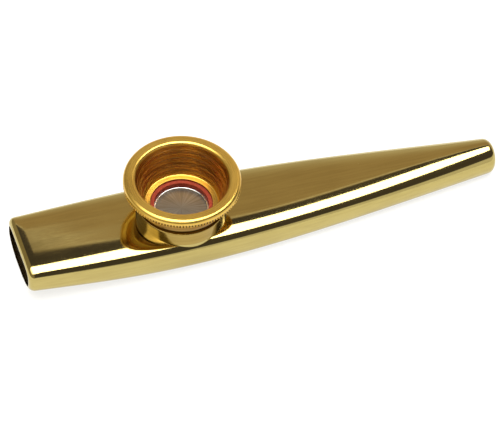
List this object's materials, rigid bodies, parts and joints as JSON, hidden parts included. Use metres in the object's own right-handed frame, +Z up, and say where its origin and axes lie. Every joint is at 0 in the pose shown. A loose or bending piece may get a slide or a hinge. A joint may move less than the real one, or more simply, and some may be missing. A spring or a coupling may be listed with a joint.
{
  "type": "kazoo",
  "caption": "Small metal kazoo: a flattened boat-shaped brass tube with a screw-in bell cap that clamps a humming membrane.",
  "frame": {"origin": "under the middle of the box, on the surface that the kazoo lies on", "axes": "+X from the wide mouth end to the round tail, +Z up through the bell cap"},
  "size_m": [0.119, 0.0276, 0.0209],
  "materials": {
    "tube_brass": "polished, with a fine lengthwise brushed grain",
    "plate_brass": "polished",
    "collar_brass": "turned and polished",
    "film": "thin grey silvery film with radial creases",
    "bare_aluminium": "satin",
    "red_fibre": "matt",
    "cap_gold": "satin gold anodised, knurled at the edge"
  },
  "bodies": {
    "tube": {"upper_shell": "tube_brass", "bottom_plate": "plate_brass", "turret_collar": "collar_brass", "membrane": "film", "membrane_frame": "bare_aluminium"},
    "washer": {"sealing_ring": "red_fibre"},
    "cap": {"bell_cap": "cap_gold"}
  },
  "joints": [
    {"name": "cap_lift", "type": "slide", "parent": "tube", "child": "washer", "axis": [0, 0, 1], "range_m": [0, 0.003]},
    {"name": "cap_turn", "type": "hinge", "parent": "washer", "child": "cap", "pos_m": [-0.01985, 0, 0.00915], "axis": [0, 0, 1], "range_deg": [0, 1080]}
  ],
  "couplings": [
    {"joint": "cap_lift", "follows": "cap_turn", "m_per_rad": 0.000159}
  ]
}
